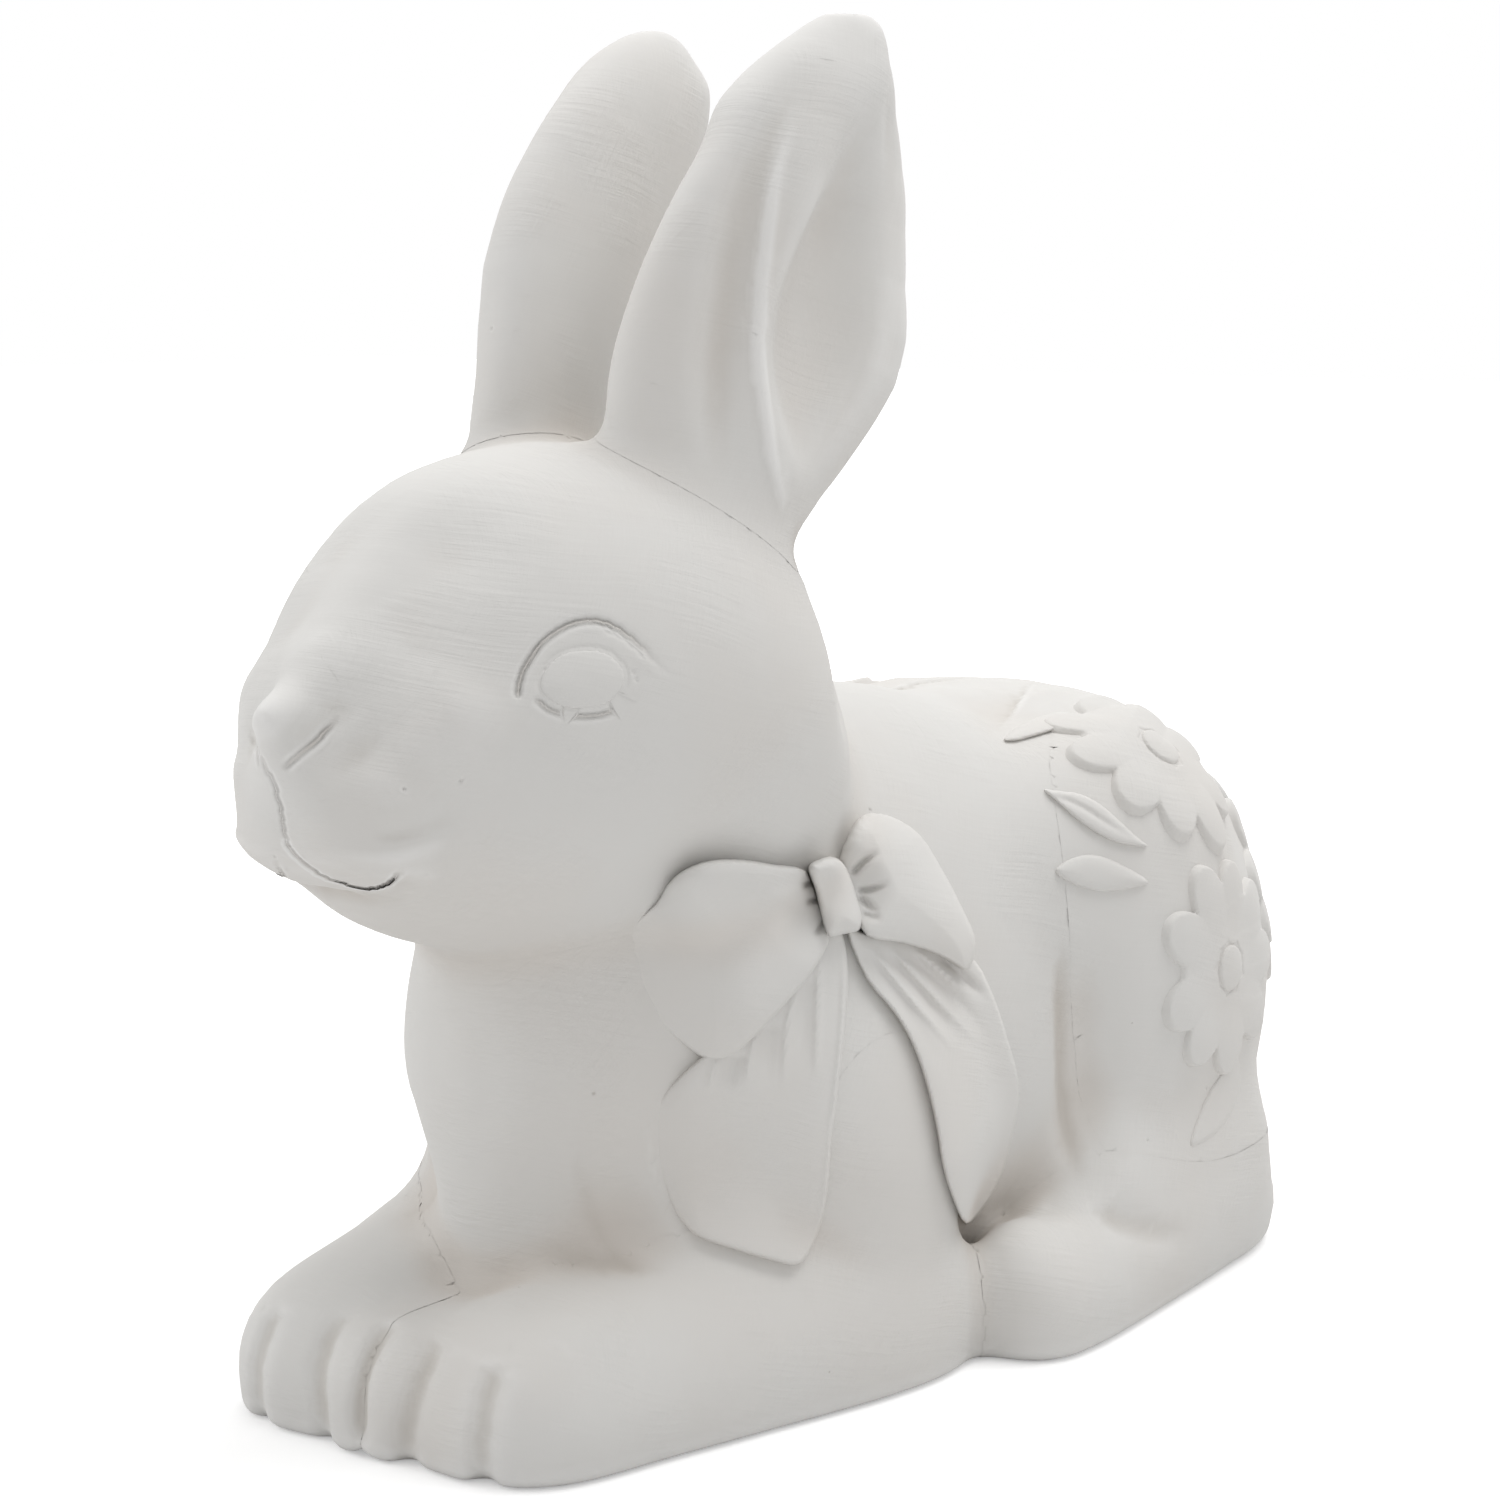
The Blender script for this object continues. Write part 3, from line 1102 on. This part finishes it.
floor_size = 6.0
floor_data = bpy.data.meshes.new("floor")
corner = floor_size / 2
corners = [(-corner, -corner, 0), (corner, -corner, 0), (corner, corner, 0), (-corner, corner, 0)]
floor_data.from_pydata(corners, [], [(0, 1, 2, 3)])
floor = bpy.data.objects.new("floor", floor_data)
bpy.context.scene.collection.objects.link(floor)
card = bpy.data.materials.new("white card")
card.use_nodes = True
card_tree = card.node_tree
card_shader = card_tree.nodes["Principled BSDF"]
grain = place(card_tree, "ShaderNodeTexNoise", {"Scale": 400.0, "Detail": 3.0})[0]
card_shader.inputs["Base Color"].default_value = (0.82, 0.82, 0.82, 1.0)
card_tree.links.new(between(card_tree, grain, 0.3, 0.7, 0.85, 1.0), card_shader.inputs["Roughness"])
card_shader.inputs["Specular IOR Level"].default_value = 0.0
card_path = place(card_tree, "ShaderNodeLightPath")
card_shader.inputs["Emission Color"].default_value = (1.0, 1.0, 1.0, 1.0)
card_spot = place(card_tree, "ShaderNodeTexCoord")["Object"]
card_reach = place(card_tree, "ShaderNodeVectorMath", {0: card_spot}, operation="LENGTH")["Value"]
glow = between(card_tree, card_reach, 0.12, 0.6, 0.36, 1.0)
glow = place(card_tree, "ShaderNodeMath", {0: glow, 1: card_path["Is Camera Ray"]}, operation="MULTIPLY")[0]
card_tree.links.new(glow, card_shader.inputs["Emission Strength"])
floor_data.materials.append(card)


def lamp(name, spot, size, power):
    data = bpy.data.lights.new(name, "AREA")
    data.size = size
    data.energy = power
    thing = bpy.data.objects.new(name, data)
    thing.location = spot
    thing.rotation_euler = (Vector(spot) - Vector((0, 0, 0.06))).to_track_quat("Z", "Y").to_euler()
    bpy.context.scene.collection.objects.link(thing)


lamp("softbox above", (0.10, 0.30, 0.90), 0.7, 5.2)
lamp("softbox left", (-0.80, -0.45, 0.50), 0.8, 2.6)
bpy.context.scene.view_settings.view_transform = "Standard"

# %% [markdown]
# ## Cut the clay into its pieces
# The rabbit is one skin, but it is kept as the parts it was modelled from: torso, head, ears, legs and tail.
# Each part takes the clay that lies nearer to its own CAD node than to any other. Vertices at a seam are
# moved onto it, and every vertex takes its normal from the field, so no seam shows. Torso and head are
# hollow inside, as slip casting leaves them.

# %% The hollow inside
wall = 2.0 * mm
x, y, z = coarse.axes()
pour_hole = np.maximum(np.hypot(x - pour_hole_place[0], y - pour_hole_place[1]) - pour_hole_radius,
                       z - floor_thickness - 3 * mm)
cave = np.minimum(np.maximum(-open_clay, clay[::2, ::2, ::2] + wall), pour_hole)


def settle(points, lattice, skin_gap, seam_gap):
    """Move vertices near the skin onto it, and those near a seam as well onto their common edge."""
    for turn in range(3):
        a, b = sample(lattice, skin_gap, points), sample(lattice, seam_gap, points)
        if turn == 0:
            on_skin = np.abs(a) < 0.6 * lattice.step
            edge = on_skin & (np.abs(b) < 0.6 * lattice.step)
        moved = np.nonzero(on_skin if turn == 0 else edge)[0]
        at = points[moved]
        p, q = slope(lattice, skin_gap, at), slope(lattice, seam_gap, at)
        a, b, both = a[moved], b[moved], edge[moved]
        pp, pq, qq = (p * p).sum(1), (p * q).sum(1), (q * q).sum(1)
        whole = np.maximum(pp * qq - pq * pq, 0.05)
        along_p = np.where(both, (qq * a - pq * b) / whole, a / np.maximum(pp, 0.1))
        along_q = np.where(both, (pp * b - pq * a) / whole, 0.0)
        step = along_p[:, None] * p + along_q[:, None] * q
        points[moved] = at - np.clip(step, -lattice.step, lattice.step)
    return points, on_skin


# %% Cut and settle each piece
lap = 1.2 * mm
lap_depth = 0.25 * mm
cutting_order = ("body_shell", "head_shell", "thigh_left", "thigh_right", "foreleg_left", "foreleg_right",
                 "hind_foot_left", "hind_foot_right", "ear_left", "ear_right", "tail")
clay_pieces = {}


def seam(node, others, region):
    """Below zero where the node is nearer than the others."""
    if not others:
        return np.full(forms[node][region].shape, -node_band, np.float32)
    return (forms[node][region] - np.minimum.reduce([forms[other][region] for other in others])) / 2


for number, node in enumerate(cutting_order):
    low, high = (np.array(corner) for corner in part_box(node))
    region, lattice = coarse.window(low - 5 * mm, high + 5 * mm)
    seam_gap = refine(seam(node, cutting_order[:number], region))
    lap_gap = refine(seam(node, cutting_order[number + 1:], region))
    hole = refine(cave[region])
    lattice = lattice.finer()
    start = lattice.first - fine.first
    skin_gap = clay[tuple(slice(a, a + n) for a, n in zip(start, lattice.counts))]
    skin_gap = skin_gap + lap_depth * ramp(lap_gap, 0.0, 0.3 * mm)
    solid = np.maximum(np.maximum(skin_gap, seam_gap), np.maximum(lap_gap - lap, -hole))
    mesh = skin(lattice, solid, 0.03)
    points, on_skin = settle(mesh[0].astype(float), lattice, skin_gap, seam_gap)
    clay_pieces[node] = (points, mesh[1], mesh[2]), on_skin
    report(f"{node}: {len(points)} vertices")


# %% [markdown]
# ## Cut the thin marks and put the pieces together
# Faces near a mark are divided, and their vertices go down to the bottom of the mark. The normals come from
# the field with its marks, so that neighbouring pieces share one smooth skin.

# %% Marks as depths


def marked(points):
    """How deep the thin marks are at each point, and how much their sides stand out."""
    depths, burrs = np.zeros(len(points)), np.zeros(len(points))
    for line, depth, width, ends, burr in thin_marks:
        reach = 3.0 * width
        near = np.nonzero(((points > line.min(0) - reach) & (points < line.max(0) + reach)).all(1))[0]
        if len(near):
            gap, share = nearest(points[near], line)
            strength = ramp(share, -0.01, ends[0]) * ramp(1 - share, -0.01, ends[1])
            depths[near] = np.maximum(depths[near], depth * strength * np.exp(-(gap / width) ** 1.4))
            burrs[near] += depth * burr * strength * np.exp(-((gap - 2.0 * width) / (0.7 * width)) ** 2)
    return depths, burrs


def close_to_marks(points):
    near = np.zeros(len(points), bool)
    for line, depth, width, ends, burr in thin_marks:
        reach = 2.6 * width + 0.3 * mm
        boxed = np.nonzero(((points > line.min(0) - reach) & (points < line.max(0) + reach)).all(1))[0]
        if len(boxed):
            near[boxed] |= nearest(points[boxed], line)[0] < reach
    return near


def divide(thing, longest=0.16 * mm):
    """Divide the faces near the thin marks until no edge there is longer than this."""
    sheet = bmesh.new()
    sheet.from_mesh(thing.data)
    for turn in range(4):
        near = close_to_marks(np.array([vertex.co for vertex in sheet.verts]))
        sheet.verts.ensure_lookup_table()
        faces = {face for index in np.nonzero(near)[0] for face in sheet.verts[index].link_faces}
        bmesh.ops.triangulate(sheet, faces=list(faces))
        sheet.verts.ensure_lookup_table()
        edges = {edge for index in np.nonzero(near)[0] for edge in sheet.verts[index].link_edges}
        edges = [edge for edge in edges if edge.calc_length() > longest]
        if not edges:
            break
        bmesh.ops.subdivide_edges(sheet, edges=edges, cuts=1)
    sheet.to_mesh(thing.data)
    sheet.free()


def vertex_places(data):
    points = np.empty(len(data.vertices) * 3, np.float32)
    data.vertices.foreach_get("co", points)
    return points.reshape(-1, 3).astype(float)


def skin_slope(points, spread=0.05 * mm):
    """The way out of the skin, marks included."""
    way = outward(fine, clay, points)
    near = np.nonzero(close_to_marks(points))[0]
    if len(near):
        change = np.empty((len(near), 3))
        for axis in range(3):
            shift = np.zeros(3)
            shift[axis] = spread
            change[:, axis] = marked(points[near] + shift)[0] - marked(points[near] - shift)[0]
        way[near] += change / (2 * spread)
    return unit(way)


# %% Finish the pieces
def finish(node, thing, worn):
    for label, values in worn.items():
        layer = thing.data.attributes.new(label, "FLOAT", "POINT")
        layer.data.foreach_set("value", np.asarray(values, np.float32))
    thing.data.shade_smooth()
    thing.data.materials.append(bisque)
    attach(thing, "root")
    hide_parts(node)


for node, (mesh, on_skin) in clay_pieces.items():
    thing = add_mesh(node + "_clay", mesh)
    divide(thing)
    points = vertex_places(thing.data)
    on_skin = np.abs(sample(fine, clay, points)) < 0.35 * fine.step
    moved = np.nonzero(on_skin & close_to_marks(points))[0]
    for turn in range(2):
        way = outward(fine, clay, points[moved])
        depth = sample(fine, clay, points[moved]) + marked(points[moved])[0]
        points[moved] -= way * depth[:, None]
    thing.data.vertices.foreach_set("co", points.astype(np.float32).ravel())
    thing.data.update()
    normals = skin_slope(points)
    depths, burrs = marked(points)
    finish(node, thing, {"crease": sample(fine, crease_field, points) - 0.25 * depths + burrs,
                         "hollow": sample(coarse, hollow_field, points)})
    smooth = on_skin | (depths > 0)
    thing.data.normals_split_custom_set_from_vertices(np.where(smooth[:, None], normals, 0.0))
    report(f"{node}: {len(thing.data.polygons)} faces")

for node, mesh in pieces.items():
    thing = add_mesh(node + "_clay", mesh)
    finish(node, thing, {"crease": np.zeros(len(mesh[0])), "hollow": sample(coarse, hollow_field, mesh[0])})
